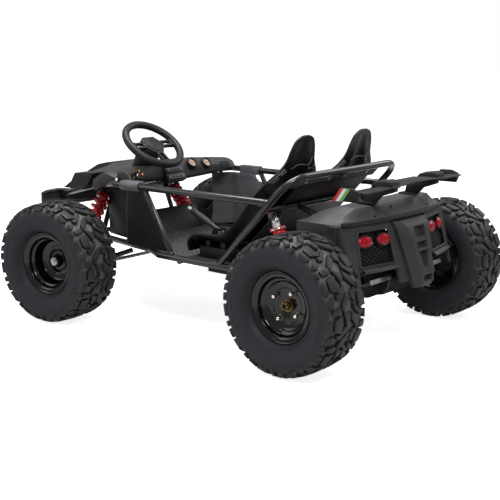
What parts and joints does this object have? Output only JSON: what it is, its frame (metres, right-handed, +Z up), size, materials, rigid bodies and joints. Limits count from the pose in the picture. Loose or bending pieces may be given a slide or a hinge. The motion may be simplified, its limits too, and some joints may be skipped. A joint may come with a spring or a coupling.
{
  "type": "two-seat off-road racing kart",
  "caption": "Low two-seat buggy kart: tube frame, knobbly tyres, bucket seats, moulded nose, dash and tail with wing; wheels roll and front wheels steer.",
  "frame": {"origin": "on the ground under the middle of the kart's overall box", "axes": "+X forward, +Y to the driver's left, +Z up"},
  "size_m": [1.4922, 1.1346, 0.6594],
  "materials": {
    "frame_tube": "satin black powder coat",
    "black_plastic": "moulded black",
    "grey_plastic": "moulded dark grey",
    "seat_plastic": "satin black",
    "floor_mat": "embossed dark grey",
    "motor_black": "matt black",
    "zinc_steel": "zinc plated",
    "red_spring": "gloss red powder coat",
    "red_lens": "clear red",
    "gloss_rim": "gloss black",
    "tyre_rubber": "moulded black rubber"
  },
  "bodies": {
    "chassis": {"lower_frame": "frame_tube", "upper_frame": "frame_tube", "tail_frame": "frame_tube", "rear_arm": "frame_tube", "arm_front_left": "frame_tube", "arm_front_right": "frame_tube", "steering_column": "frame_tube", "battery_box": "black_plastic", "handbrake": "black_plastic", "dash": "black_plastic", "nose_cover": "black_plastic", "front_bumper": "black_plastic", "rear_fascia": "black_plastic", "rear_deck": "black_plastic", "rear_wing": "black_plastic", "side_panel_left": "grey_plastic", "side_panel_right": "grey_plastic", "bulkhead": "grey_plastic", "seat_left": "seat_plastic", "seat_right": "seat_plastic", "floor_pan": "floor_mat", "pedals": "motor_black", "rack_housing": "motor_black", "drive_unit": "motor_black", "grille_left": "motor_black", "grille_right": "motor_black", "shock_front_left": "zinc_steel", "shock_front_right": "zinc_steel", "shock_rear_left": "zinc_steel", "shock_rear_right": "zinc_steel", "spring_front_left": "red_spring", "spring_front_right": "red_spring", "spring_rear_left": "red_spring", "spring_rear_right": "red_spring", "tail_lamps_left": "red_lens", "tail_lamps_right": "red_lens"},
    "steering": {"steering_wheel": "black_plastic"},
    "track_rod": {"track_rod": "zinc_steel"},
    "knuckle_left": {"knuckle_left": "motor_black"},
    "knuckle_right": {"knuckle_right": "motor_black"},
    "wheel_front_left": {"rim_front_left": "gloss_rim", "tyre_front_left": "tyre_rubber"},
    "wheel_front_right": {"rim_front_right": "gloss_rim", "tyre_front_right": "tyre_rubber"},
    "wheel_rear_left": {"rim_rear_left": "gloss_rim", "tyre_rear_left": "tyre_rubber", "half_shaft_left": "zinc_steel"},
    "wheel_rear_right": {"rim_rear_right": "gloss_rim", "tyre_rear_right": "tyre_rubber", "half_shaft_right": "zinc_steel"}
  },
  "joints": [
    {"name": "steering_wheel_turn", "type": "hinge", "parent": "chassis", "child": "steering", "pos_m": [0.2715, 0.157, 0.585], "axis": [-0.6115, 0, 0.7912], "range_deg": [-81, 39]},
    {"name": "track_rod_slide", "type": "slide", "parent": "chassis", "child": "track_rod", "axis": [0, 1, 0], "range_m": [-0.0237, 0.0492]},
    {"name": "steer_left", "type": "hinge", "parent": "chassis", "child": "knuckle_left", "pos_m": [0.4445, 0.352, 0.203], "axis": [0, 0, 1], "range_deg": [-27, 13]},
    {"name": "steer_right", "type": "hinge", "parent": "chassis", "child": "knuckle_right", "pos_m": [0.4445, -0.352, 0.203], "axis": [0, 0, 1], "range_deg": [-27, 13]},
    {"name": "wheel_front_left_spin", "type": "hinge", "parent": "knuckle_left", "child": "wheel_front_left", "pos_m": [0.43085, 0.46316, 0.203], "axis": [-0.1219, 0.9925, 0], "continuous": true},
    {"name": "wheel_front_right_spin", "type": "hinge", "parent": "knuckle_right", "child": "wheel_front_right", "pos_m": [0.45815, -0.46316, 0.203], "axis": [-0.1219, 0.9925, 0], "continuous": true},
    {"name": "wheel_rear_left_spin", "type": "hinge", "parent": "chassis", "child": "wheel_rear_left", "pos_m": [-0.5435, 0.419, 0.203], "axis": [0, 1, 0], "continuous": true},
    {"name": "wheel_rear_right_spin", "type": "hinge", "parent": "chassis", "child": "wheel_rear_right", "pos_m": [-0.5435, -0.419, 0.203], "axis": [0, 1, 0], "continuous": true}
  ],
  "couplings": [
    {"joint": "steer_left", "follows": "steering_wheel_turn", "ratio": 0.33333},
    {"joint": "steer_right", "follows": "steering_wheel_turn", "ratio": 0.33333},
    {"joint": "track_rod_slide", "follows": "steering_wheel_turn", "m_per_rad": -0.034739}
  ]
}
